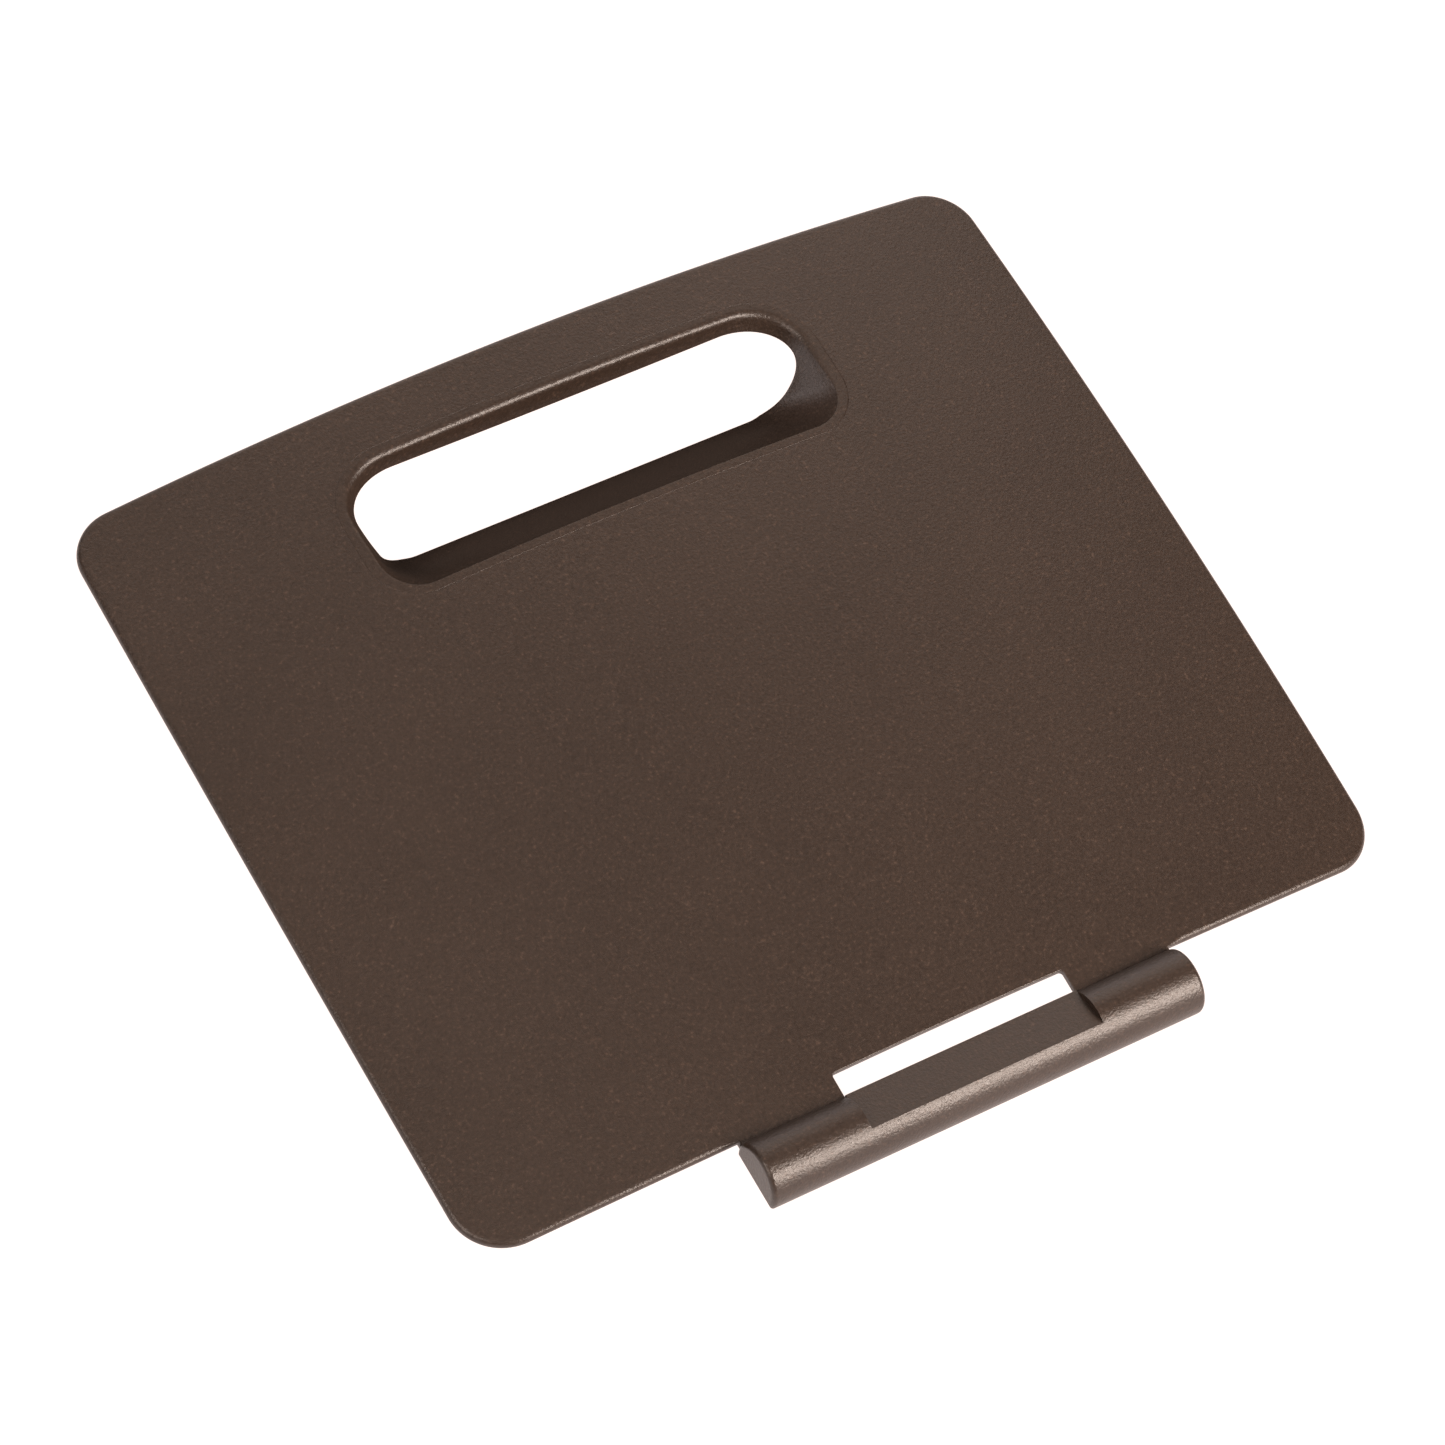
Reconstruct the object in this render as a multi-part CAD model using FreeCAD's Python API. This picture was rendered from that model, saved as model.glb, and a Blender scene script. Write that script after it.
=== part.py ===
import FreeCAD, Part
import math
import os

# Hinged flap panel: a thin arched panel with a grip opening near one edge and a
# straight D-section hinge bar along the opposite edge. Millimetres, +Z up, X along
# the hinge, +Y from the hinge towards the grip. The origin is under the middle of
# the object, at the level of its lowest edge.

V = FreeCAD.Vector

# Panel
PANEL_WIDTH = 200.0
PANEL_LENGTH = 167.0
PANEL_THICKNESS = 1.7
ARCH_RADIUS = 594.0          # across the hinge direction
CROWN_RADIUS = 1900.0        # along the panel's length
SIDE_BOW = 0.9               # how far each side edge bulges
HANDLE_EDGE_BOW = 0.5
HINGE_EDGE_BOW = 1.9
HANDLE_CORNER_RADIUS = 9.5
HINGE_CORNER_RADIUS = 11.0

# Hinge bar
BAR_RADIUS = 6.5
BAR_LENGTH = 94.0
BAR_DEPTH = 13.0             # how far the bar stands out from the panel's edge
BAR_AXIS_DROP = 5.2          # below the top of the panel's crown
BAR_FLAT_DROP = 7.3
BAR_WALL = 1.6
ROOF_WALL = 1.05
SLOT_LENGTH = 50.2
SLOT_WIDTH = 4.85
FACET_BACK = 0.45            # the facet's rear edge, in front of the panel's edge
FACET_BACK_DROP = 1.9
FACET_RIDGE = 9.15
TONGUE_LENGTH = 15.0         # under the panel, behind its edge
TONGUE_X = (27.0, 46.0)

# Hinge rod and its bushes
ROD_RADIUS = 2.0
ROD_LENGTH = 80.0
ROD_CLEARANCE = 0.03
ROD_FLAT_LENGTH = 40.0
ROD_FLAT_DEPTH = 0.5
ROD_CHAMFER = 0.4
ROD_BACK = 6.8
ROD_DROP = 3.5
BUSH_RADIUS = 2.8
BUSH_LENGTH = 10.0
CHANNEL_RADIUS = 2.3         # around the rod beyond the bush
CHANNEL_END = 41.0

# Caps under the rod
CAP_X = (27.0, 45.5)
CAP_THICKNESS = 1.4
CAP_FRONT = 11.3
CAP_BACK = 0.5
CAP_SCREW_PLACES = ((43.3, 6.5), (31.0, 2.4))

# Screws
CAP_THREAD_RADIUS = 1.1
CAP_PILOT_RADIUS = 0.85
CAP_SCREW_DEPTH = 3.2
CAP_HEAD_RADIUS = 1.8
CAP_HEAD_HEIGHT = 0.8
BAR_SCREW_X = (31.5, 41.5)
BAR_SCREW_BACK = 9.0
BAR_THREAD_RADIUS = 1.25
BAR_PILOT_RADIUS = 1.0
BAR_SCREW_DEPTH = 3.0
BAR_HEAD_RADIUS = 3.3
BAR_HEAD_HEIGHT = 1.4
BOSS_RADIUS = 2.5
BOSS_END_GAP = 1.0           # the boss stops short of the tongue's underside
BOSS_HOLE_CLEARANCE = 0.1
HOLE_CLEARANCE = 0.1

# Grip opening and its scoop
GRIP_HALF = 50.0
GRIP_FRONT = 124.7           # from the panel's hinge edge
GRIP_BACK = 153.3
GRIP_FRONT_CORNER = 8.0
GRIP_BACK_CORNER = 11.0
FOOT_FRONT = 138.4           # foot of the sloping front wall
FOOT_BACK = 150.0            # where the back wall would meet the same level
FOOT_HALF = 42.8
FOOT_FRONT_CORNER = (6.0, 3.5)
FOOT_BACK_CORNER = (14.0, 3.0)
CUT_START = 138.8            # the front wall's ends rise in a quarter ellipse
CUT_END = 144.3
SKIRT_DEPTH = 7.0            # end and back walls, below the panel's crown
SCOOP_DEPTH = 17.5           # front wall, below the panel's crown
SCOOP_WALL = 1.2
SCOOP_FRONT_WALL = 1.8
FLANGE_WIDTH = 2.5
FLANGE_FRONT = 1.8
FLANGE_THICKNESS = 0.9
LEDGE_OUT = 1.3              # from the opening to the seat's inner edge
SEAM_GAP = 0.1
LUG_LENGTH = 8.0
LUG_REACH = 1.0
LUG_BITE = 2.0               # how far a lug's root goes into the wall
LUG_HEIGHT = 1.2
LUG_SPACING = 50.0

# Building allowances
OVER = 3.0                   # cutters and lofts run this far above the crown
UNDER = 1.0                  # and this far below the foot
FAR = 300.0
LAYER_SPARE_X = 8.0          # how far the curved layers run past the panel
LAYER_SPARE_Y = 25.0
LAYER_ABOVE = 8.0
SCREW_END_GAP = 0.4          # below the end of a pilot hole
HEAD_ROUND = 0.4             # of a screw head's height
DRIVE_RADIUS = 0.35          # of a screw head's radius
TIP_CHAMFER = 0.4            # of a screw thread's radius

# Places in the part's own frame
HINGE_Y = -(PANEL_LENGTH + BAR_DEPTH) / 2 + BAR_DEPTH
HANDLE_Y = HINGE_Y + PANEL_LENGTH
MIDDLE_Y = (HINGE_Y + HANDLE_Y) / 2
CROWN_Z = SCOOP_DEPTH
BAR_Y = HINGE_Y - BAR_RADIUS
BAR_Z = CROWN_Z - BAR_AXIS_DROP
FLAT_Z = CROWN_Z - BAR_FLAT_DROP
ROD_Y = HINGE_Y - ROD_BACK
ROD_Z = CROWN_Z - ROD_DROP
HALF_SLOT = SLOT_LENGTH / 2


def box(x, y, z):
    """A box from three (low, high) pairs."""
    corner = V(x[0], y[0], z[0])
    return Part.makeBox(x[1] - x[0], y[1] - y[0], z[1] - z[0], corner)


def rod_along_x(radius, x, y, z):
    """A cylinder along X between a (low, high) pair."""
    return Part.makeCylinder(radius, x[1] - x[0], V(x[0], y, z), V(1, 0, 0))


def post(radius, x, y, z):
    """An upright cylinder between a (low, high) pair."""
    return Part.makeCylinder(radius, z[1] - z[0], V(x, y, z[0]))


def mirrored(pair):
    """The same (low, high) pair on the other side of X = 0."""
    return (-pair[1], -pair[0])


def side(pair, sign):
    return pair if sign > 0 else mirrored(pair)


def crown_layer(top, bottom):
    """The doubly curved layer between two depths below the panel's top surface."""
    half_angle = math.asin((PANEL_WIDTH / 2 + LAYER_SPARE_X) / ARCH_RADIUS)
    turn = math.degrees(PANEL_LENGTH / 2 + LAYER_SPARE_Y) / CROWN_RADIUS
    centre_z = CROWN_Z - ARCH_RADIUS

    def arc(depth):
        radius = ARCH_RADIUS - depth
        reach = radius * math.sin(half_angle)
        rise = radius * math.cos(half_angle)
        return (V(-reach, MIDDLE_Y, centre_z + rise),
                V(0, MIDDLE_Y, centre_z + radius),
                V(reach, MIDDLE_Y, centre_z + rise))

    upper = arc(top)
    lower = arc(bottom)
    wire = Part.Wire([
        Part.Arc(*upper).toShape(),
        Part.makeLine(upper[2], lower[2]),
        Part.Arc(*lower[::-1]).toShape(),
        Part.makeLine(lower[0], upper[0]),
    ])
    axis = V(0, MIDDLE_Y, CROWN_Z - CROWN_RADIUS)
    face = Part.Face(wire)
    face.rotate(axis, V(1, 0, 0), -turn)
    return face.revolve(axis, V(1, 0, 0), 2 * turn)


def upright(wire, z):
    """A prism on a flat outline, between a (low, high) pair."""
    face = Part.Face(wire)
    face.translate(V(0, 0, z[0]))
    return face.extrude(V(0, 0, z[1] - z[0]))


def panel_outline():
    """Four gently bowed edges, with the corners rounded upright."""
    x = PANEL_WIDTH / 2
    corner_x = x - SIDE_BOW
    low = HINGE_Y + HINGE_EDGE_BOW
    high = HANDLE_Y - HANDLE_EDGE_BOW
    corners = [V(-corner_x, low), V(corner_x, low), V(corner_x, high), V(-corner_x, high)]
    middles = [V(0, HINGE_Y), V(x, MIDDLE_Y), V(0, HANDLE_Y), V(-x, MIDDLE_Y)]
    edges = []
    for start, middle, end in zip(corners, middles, corners[1:] + corners[:1]):
        edges.append(Part.Arc(start, middle, end).toShape())
    prism = upright(Part.Wire(edges), (-FAR, FAR))
    for y_sign, radius in ((-1, HINGE_CORNER_RADIUS), (1, HANDLE_CORNER_RADIUS)):
        sharp = []
        for edge in prism.Edges:
            middle = edge.CenterOfMass
            stands = abs(middle.z) < 1 and edge.Length > FAR
            if stands and (middle.y - MIDDLE_Y) * y_sign > 0:
                sharp.append(edge)
        prism = prism.makeFillet(radius, sharp)
    return prism


def quarter(start, corner, end):
    """A quarter ellipse that leaves start and reaches end towards the corner."""
    curve = Part.BSplineCurve()
    weight = math.sqrt(0.5)
    curve.buildFromPolesMultsKnots([start, corner, end], [3, 3], [0, 1], False, 2,
                                   [1, weight, 1])
    return curve.toShape()


def grip_outline(half, front, back, front_corner, back_corner, z):
    """A rounded rectangle; each corner is a pair of reaches along X and Y."""
    low = HINGE_Y + front
    high = HINGE_Y + back
    right, ahead, left, behind = V(1, 0), V(0, 1), V(-1, 0), V(0, -1)
    corners = [
        (V(-half, low, z), behind, right, front_corner),
        (V(half, low, z), right, ahead, front_corner),
        (V(half, high, z), ahead, left, back_corner),
        (V(-half, high, z), left, behind, back_corner),
    ]
    bends = []
    for corner, arriving, leaving, (reach_x, reach_y) in corners:
        start = corner - V(arriving.x * reach_x, arriving.y * reach_y)
        end = corner + V(leaving.x * reach_x, leaving.y * reach_y)
        bends.append((start, corner, end))
    edges = []
    for bend, following in zip(bends, bends[1:] + bends[:1]):
        edges.append(quarter(*bend))
        edges.append(Part.makeLine(bend[2], following[0]))
    return Part.Wire(edges)


def opening_outline(grow, front_grow):
    """The grip opening's outline on the panel, grown outwards."""
    front_corner = GRIP_FRONT_CORNER + grow
    back_corner = GRIP_BACK_CORNER + grow
    return grip_outline(GRIP_HALF + grow, GRIP_FRONT - front_grow, GRIP_BACK + grow,
                        (front_corner, front_corner), (back_corner, back_corner), 0.0)


def sag(x, distance):
    """How far the surface has fallen from the crown, at a distance from the hinge."""
    along = HINGE_Y + distance - MIDDLE_Y
    return x ** 2 / (2 * ARCH_RADIUS) + along ** 2 / (2 * CROWN_RADIUS)


def scoop_loft(side_wall, front_wall):
    """The scoop's tapering inside, or its outside when it is grown by the walls."""
    middle = (GRIP_FRONT + GRIP_BACK) / 2
    falls = (sag(GRIP_HALF, middle), sag(0, GRIP_FRONT), sag(0, GRIP_BACK))
    tops = (GRIP_HALF, GRIP_FRONT, GRIP_BACK)
    feet = (FOOT_HALF, FOOT_FRONT, FOOT_BACK)
    walls = (side_wall, -front_wall, side_wall)
    high = []
    low = []
    for fall, top, foot, wall in zip(falls, tops, feet, walls):
        lean = (top - foot) / (CROWN_Z - fall)
        high.append(top + lean * (OVER + fall) + wall)
        low.append(foot - lean * UNDER + wall)
    front_corner = GRIP_FRONT_CORNER + side_wall
    back_corner = GRIP_BACK_CORNER + side_wall
    top = grip_outline(*high, (front_corner, front_corner), (back_corner, back_corner),
                       CROWN_Z + OVER)
    low_front = [reach + side_wall for reach in FOOT_FRONT_CORNER]
    low_back = [reach + side_wall for reach in FOOT_BACK_CORNER]
    foot = grip_outline(*low, low_front, low_back, -UNDER)
    return Part.makeLoft([top, foot], True, True)


def front_wall_reach():
    """The space in which the scoop is deeper: the front wall and its corners."""
    half = PANEL_WIDTH / 2
    front = HINGE_Y + PANEL_LENGTH / 2
    level = CROWN_Z - SKIRT_DEPTH
    start = V(-half, HINGE_Y + CUT_START, 0)
    corner = V(-half, HINGE_Y + CUT_START, level)
    end = V(-half, HINGE_Y + CUT_END, level)
    wire = Part.Wire([
        Part.makeLine(V(-half, front, 0), start),
        quarter(start, corner, end),
        Part.makeLine(end, V(-half, front, level)),
        Part.makeLine(V(-half, front, level), V(-half, front, 0)),
    ])
    return Part.Face(wire).extrude(V(PANEL_WIDTH, 0, 0))


def snap_lugs():
    """Four lugs on the scoop's outer walls that catch under the panel."""
    wall_x = GRIP_HALF + SCOOP_WALL
    wall_y = HINGE_Y + GRIP_BACK + SCOOP_WALL
    middle_y = HINGE_Y + (GRIP_FRONT + GRIP_BACK) / 2
    z = (0, CROWN_Z + OVER)
    lugs = []
    for sign in (-1, 1):
        reach = side((wall_x - LUG_BITE, wall_x + LUG_REACH), sign)
        lugs.append(box(reach, (middle_y - LUG_LENGTH / 2, middle_y + LUG_LENGTH / 2), z))
        middle_x = sign * LUG_SPACING / 2
        along = (middle_x - LUG_LENGTH / 2, middle_x + LUG_LENGTH / 2)
        lugs.append(box(along, (wall_y - LUG_BITE / 2, wall_y + LUG_REACH), z))
    band = crown_layer(PANEL_THICKNESS, PANEL_THICKNESS + LUG_HEIGHT)
    return [lug.common(band) for lug in lugs]


def make_grip_scoop():
    """Flush flange, sloping front wall, short end and back walls, and snap lugs."""
    inside = scoop_loft(0.0, 0.0)
    walls = scoop_loft(SCOOP_WALL, SCOOP_FRONT_WALL)
    level = CROWN_Z - SKIRT_DEPTH
    high = box((-FAR, FAR), (-FAR, FAR), (level, CROWN_Z))
    short = walls.common(crown_layer(0.0, SCOOP_DEPTH)).common(high)
    deep = walls.common(front_wall_reach())
    flange_outline = opening_outline(FLANGE_WIDTH - SEAM_GAP, FLANGE_FRONT - SEAM_GAP)
    flange_prism = upright(flange_outline, (0, CROWN_Z + OVER))
    flange = flange_prism.common(crown_layer(0.0, FLANGE_THICKNESS))
    scoop = short.fuse([deep, flange] + snap_lugs())
    return scoop.cut(inside).removeSplitter()


def bosses(grow, z_low):
    """The panel's screw posts, or the tongues' clearance holes for them."""
    y = HINGE_Y + BAR_SCREW_BACK
    posts = []
    for sign in (-1, 1):
        for x in BAR_SCREW_X:
            posts.append(post(BOSS_RADIUS + grow, sign * x, y, (z_low, CROWN_Z)))
    return posts


def make_panel():
    """The arched skin with its grip seat, hinge slot and screw bosses."""
    skin = crown_layer(0.0, PANEL_THICKNESS)
    outline = panel_outline()
    half_bar = BAR_LENGTH / 2
    tab = box((-half_bar, half_bar), (BAR_Y, HINGE_Y + HINGE_EDGE_BOW), (-FAR, FAR))
    panel = skin.common(outline.fuse(tab))
    panel = panel.cut(rod_along_x(BAR_RADIUS, (-FAR, FAR), BAR_Y, BAR_Z))
    slot_back = HINGE_Y - FACET_BACK + SLOT_WIDTH
    slot = box((-HALF_SLOT, HALF_SLOT), (BAR_Y, slot_back), (0, FAR))
    panel = panel.cut(slot)
    seat = upright(opening_outline(FLANGE_WIDTH, FLANGE_FRONT), (0, CROWN_Z + OVER))
    seat = seat.common(crown_layer(-UNDER, FLANGE_THICKNESS))
    through = upright(opening_outline(LEDGE_OUT, LEDGE_OUT), (-UNDER, CROWN_Z + OVER))
    panel = panel.cut([seat, through])
    above = crown_layer(-LAYER_ABOVE, PANEL_THICKNESS / 2)
    foot = FLAT_Z + BOSS_END_GAP
    for boss in bosses(0.0, foot):
        panel = panel.fuse(boss.cut(above))
    y = HINGE_Y + BAR_SCREW_BACK
    for sign in (-1, 1):
        for x in BAR_SCREW_X:
            pilot = post(BAR_PILOT_RADIUS, sign * x, y, (FLAT_Z, foot + BAR_SCREW_DEPTH))
            panel = panel.cut(pilot)
    return panel.removeSplitter()


def bar_middle():
    """The open span behind the slot: a front wall and a sloping roof."""
    x = -HALF_SLOT
    back_y = HINGE_Y - FACET_BACK
    back = V(x, back_y, CROWN_Z - FACET_BACK_DROP)
    ridge_y = HINGE_Y - FACET_RIDGE
    ridge_rise = math.sqrt(BAR_RADIUS ** 2 - (ridge_y - BAR_Y) ** 2)
    ridge = V(x, ridge_y, BAR_Z + ridge_rise)
    slope = (ridge.z - back.z) / (back.y - ridge.y)
    inner = BAR_RADIUS - BAR_WALL
    drop = ROOF_WALL * math.sqrt(1 + slope ** 2)

    def roof_under(y):
        return ridge.z - drop - slope * (y - ridge_y)

    # The roof's underside meets the front wall's inside: a quadratic in Y.
    a = 1 + slope ** 2
    b = -2 * slope * (roof_under(BAR_Y) - BAR_Z)
    c = (roof_under(BAR_Y) - BAR_Z) ** 2 - inner ** 2
    meet_y = BAR_Y + (-b - math.sqrt(b ** 2 - 4 * a * c)) / (2 * a)
    foot_fall = BAR_Z - FLAT_Z
    outer_foot = V(x, BAR_Y - math.sqrt(BAR_RADIUS ** 2 - foot_fall ** 2), FLAT_Z)
    inner_foot = V(x, BAR_Y - math.sqrt(inner ** 2 - foot_fall ** 2), FLAT_Z)
    meet = V(x, meet_y, roof_under(meet_y))
    under = V(x, back_y, roof_under(back_y))
    wire = Part.Wire([
        Part.makeLine(back, ridge),
        Part.Arc(ridge, V(x, BAR_Y - BAR_RADIUS, BAR_Z), outer_foot).toShape(),
        Part.makeLine(outer_foot, inner_foot),
        Part.Arc(inner_foot, V(x, BAR_Y - inner, BAR_Z), meet).toShape(),
        Part.makeLine(meet, under),
        Part.makeLine(under, back),
    ])
    return Part.Face(wire).extrude(V(SLOT_LENGTH, 0, 0))


def channel(sign):
    """The way for the rod and its bush, open below."""
    seat = side((HALF_SLOT - UNDER, HALF_SLOT + BUSH_LENGTH), sign)
    rest = side((HALF_SLOT, CHANNEL_END), sign)
    below = (FLAT_Z - UNDER, ROD_Z)
    return [
        rod_along_x(BUSH_RADIUS, seat, ROD_Y, ROD_Z),
        box(seat, (ROD_Y - BUSH_RADIUS, ROD_Y + BUSH_RADIUS), below),
        rod_along_x(CHANNEL_RADIUS, rest, ROD_Y, ROD_Z),
        box(rest, (ROD_Y - CHANNEL_RADIUS, ROD_Y + CHANNEL_RADIUS), below),
    ]


def cap_pocket(sign, shrink=0.0):
    """The recess in the bar's underside that a cap fills."""
    x = side((CAP_X[0] + shrink, CAP_X[1] - shrink), sign)
    y = (HINGE_Y - CAP_FRONT + shrink, HINGE_Y - CAP_BACK - shrink)
    return box(x, y, (FLAT_Z, FLAT_Z + CAP_THICKNESS))


def bar_end(sign):
    """One solid end of the bar, with its tongue under the panel."""
    x = side((HALF_SLOT, BAR_LENGTH / 2), sign)
    round_end = rod_along_x(BAR_RADIUS, x, BAR_Y, BAR_Z)
    round_end = round_end.cut(box(x, (BAR_Y - FAR, BAR_Y + FAR), (FLAT_Z - FAR, FLAT_Z)))
    tongue = box(side(TONGUE_X, sign), (BAR_Y, HINGE_Y + TONGUE_LENGTH), (FLAT_Z, CROWN_Z + OVER))
    above = crown_layer(-LAYER_ABOVE, PANEL_THICKNESS)
    tongue = tongue.cut(above)
    web = box(x, (BAR_Y, HINGE_Y), (FLAT_Z, CROWN_Z + OVER)).cut(above)
    return round_end.fuse([tongue, web])


def make_hinge_bar():
    """The D-section bar: two solid ends joined by the roofed middle span."""
    bar = bar_middle().fuse([bar_end(-1), bar_end(1)])
    for sign in (-1, 1):
        bar = bar.cut(channel(sign))
        bar = bar.cut(cap_pocket(sign))
        for x, front in CAP_SCREW_PLACES:
            top = FLAT_Z + CAP_THICKNESS + CAP_SCREW_DEPTH
            bar = bar.cut(post(CAP_PILOT_RADIUS, sign * x, HINGE_Y - front, (FLAT_Z, top)))
    return bar.cut(bosses(BOSS_HOLE_CLEARANCE, 0.0)).removeSplitter()


def make_rod_cap(sign):
    """A plate that keeps the bush and rod in their channel."""
    cap = cap_pocket(sign, SEAM_GAP)
    bush = side((HALF_SLOT, HALF_SLOT + BUSH_LENGTH), sign)
    cap = cap.cut(rod_along_x(BUSH_RADIUS, bush, ROD_Y, ROD_Z))
    for x, front in CAP_SCREW_PLACES:
        y = HINGE_Y - front
        cap = cap.cut(post(CAP_THREAD_RADIUS + HOLE_CLEARANCE, sign * x, y, (0, CROWN_Z)))
        head = (0, FLAT_Z + CAP_HEAD_HEIGHT)
        cap = cap.cut(post(CAP_HEAD_RADIUS + HOLE_CLEARANCE, sign * x, y, head))
    return cap


def make_rod_bush(sign):
    """A plain sleeve that the rod turns in."""
    x = side((HALF_SLOT, HALF_SLOT + BUSH_LENGTH), sign)
    sleeve = rod_along_x(BUSH_RADIUS, x, ROD_Y, ROD_Z)
    return sleeve.cut(rod_along_x(ROD_RADIUS + ROD_CLEARANCE, x, ROD_Y, ROD_Z))


def make_hinge_rod():
    """The steel rod, with a flat along the bottom of its exposed middle."""
    half = ROD_LENGTH / 2
    rod = rod_along_x(ROD_RADIUS, (-half, half), ROD_Y, ROD_Z)
    rod = rod.makeChamfer(ROD_CHAMFER, [edge for edge in rod.Edges if edge.isClosed()])
    flat = box((-ROD_FLAT_LENGTH / 2, ROD_FLAT_LENGTH / 2),
               (ROD_Y - 2 * ROD_RADIUS, ROD_Y + 2 * ROD_RADIUS),
               (0, ROD_Z - ROD_RADIUS + ROD_FLAT_DEPTH))
    return rod.cut(flat)


def screw(x, y, z, thread_radius, length, head_radius, head_height):
    """A pan-head screw pointing up, its head's upper face at z."""
    head = post(head_radius, x, y, (z - head_height, z))
    rim = [edge for edge in head.Edges if edge.isClosed() and edge.CenterOfMass.z < z]
    lowest = min(rim, key=lambda edge: edge.CenterOfMass.z)
    head = head.makeFillet(head_height * HEAD_ROUND, [lowest])
    drive = post(head_radius * DRIVE_RADIUS, x, y,
                 (z - head_height, z - head_height * HEAD_ROUND))
    shank = post(thread_radius, x, y, (z, z + length))
    tip = max((edge for edge in shank.Edges if edge.isClosed()),
              key=lambda edge: edge.CenterOfMass.z)
    shank = shank.makeChamfer(thread_radius * TIP_CHAMFER, [tip])
    return head.cut(drive).fuse(shank).removeSplitter()


def make_cap_screws():
    """Screws that hold the two caps to the bar, with their heads sunk."""
    screws = []
    for sign in (-1, 1):
        for x, front in CAP_SCREW_PLACES:
            length = CAP_THICKNESS - CAP_HEAD_HEIGHT + CAP_SCREW_DEPTH - SCREW_END_GAP
            screws.append(screw(sign * x, HINGE_Y - front, FLAT_Z + CAP_HEAD_HEIGHT,
                                CAP_THREAD_RADIUS, length, CAP_HEAD_RADIUS,
                                CAP_HEAD_HEIGHT))
    return Part.Compound(screws)


def make_bar_screws():
    """Screws up through the tongues' holes into the panel's bosses."""
    screws = []
    for sign in (-1, 1):
        for x in BAR_SCREW_X:
            length = BOSS_END_GAP + BAR_SCREW_DEPTH - SCREW_END_GAP
            screws.append(screw(sign * x, HINGE_Y + BAR_SCREW_BACK, FLAT_Z,
                                BAR_THREAD_RADIUS, length, BAR_HEAD_RADIUS,
                                BAR_HEAD_HEIGHT))
    return Part.Compound(screws)


def main():
    parts = {
        "panel": make_panel(),
        "grip_scoop": make_grip_scoop(),
        "hinge_bar": make_hinge_bar(),
        "rod_bush_left": make_rod_bush(-1),
        "rod_bush_right": make_rod_bush(1),
        "rod_cap_left": make_rod_cap(-1),
        "rod_cap_right": make_rod_cap(1),
        "cap_screws": make_cap_screws(),
        "bar_screws": make_bar_screws(),
        "hinge_rod": make_hinge_rod(),
    }
    os.makedirs("parts", exist_ok=True)
    for name, shape in parts.items():
        shape.exportStep("parts/" + name + ".step")
        size = shape.optimalBoundingBox()
        print(name, len(shape.Solids), "solids", round(shape.Volume / 1000, 2), "cm3",
              "valid" if shape.isValid() else "INVALID",
              [round(v, 2) for v in (size.XMin, size.XMax, size.YMin, size.YMax,
                                     size.ZMin, size.ZMax)])


main()
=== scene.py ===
import math

import bmesh
import bpy
from mathutils import Matrix, Vector
from mathutils.geometry import delaunay_2d_cdt


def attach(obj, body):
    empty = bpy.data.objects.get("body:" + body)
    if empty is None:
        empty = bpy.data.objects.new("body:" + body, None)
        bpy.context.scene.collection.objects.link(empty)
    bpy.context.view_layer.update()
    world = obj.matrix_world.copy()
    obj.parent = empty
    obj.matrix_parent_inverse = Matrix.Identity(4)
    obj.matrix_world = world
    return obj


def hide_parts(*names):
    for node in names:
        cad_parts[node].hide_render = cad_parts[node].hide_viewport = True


# Visual model of the hinged flap panel. Lengths in this script are millimetres in
# the part's own frame, and MM turns them into Blender's metres.
MM = 0.001

# Meshing
MERGE_DISTANCE = 1e-7        # metres
NORMAL_WEIGHT = 80
SOFTEN_ANGLE = 30            # edges sharper than this many degrees are rounded
SHARPEST = 0.5               # limits how far an outline's sharp corner moves in an inset
FILL_TOLERANCE = 1e-6
HALVINGS = 40
CORNER_ROUNDS = 30           # steps that settle a corner's centre
CORNER_STEPS = 20
NUDGE = 0.01
SMALL_ARC_STEPS = 3

# Panel
PANEL_WIDTH = 200.0
PANEL_LENGTH = 167.0
PANEL_THICKNESS = 1.7
ARCH_RADIUS = 594.0
CROWN_RADIUS = 1900.0
SIDE_BOW = 0.9
HANDLE_EDGE_BOW = 0.5
HINGE_EDGE_BOW = 1.9
HANDLE_CORNER_RADIUS = 9.5
HINGE_CORNER_RADIUS = 11.0
EDGE_ROUND = 0.95
UNDER_ROUND = 0.5
SLOT_ROUND = 0.2
EDGE_ROUND_STEPS = 5
RING_MARGIN = 0.5            # flat ring between an edge's round and the filled face
FILL_SPACING = 3.0           # between the points that fill a face
FILL_MARGIN = 1.3

# Hinge bar
BAR_RADIUS = 6.5
BAR_LENGTH = 94.0
BAR_DEPTH = 13.0
BAR_AXIS_DROP = 5.2
BAR_FLAT_DROP = 7.3
BAR_WALL = 1.6
BAR_ARC_STEPS = 90
BAR_END_ROUND = 1.0
BAR_END_STEPS = 6
BAR_EDGE_ROUND = 0.5
BAR_HOLLOW_STEPS = 24
ROOF_WALL = 1.05
SLOT_LENGTH = 50.2
SLOT_WIDTH = 4.85
SLOT_CORNER = 0.7
SLOT_CORNER_STEPS = 6
FACET_BACK = 0.45
FACET_BACK_DROP = 1.9
FACET_RIDGE = 9.15
TONGUE_LENGTH = 15.0
TONGUE_X = (27.0, 46.0)
ROD_BACK = 6.8
ROD_DROP = 3.5
BUSH_RADIUS = 2.8
BUSH_LENGTH = 10.0
CHANNEL_RADIUS = 2.3
CHANNEL_END = 41.0
CAP_X = (27.0, 45.5)
CAP_THICKNESS = 1.4
CAP_FRONT = 11.3
CAP_BACK = 0.5
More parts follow.
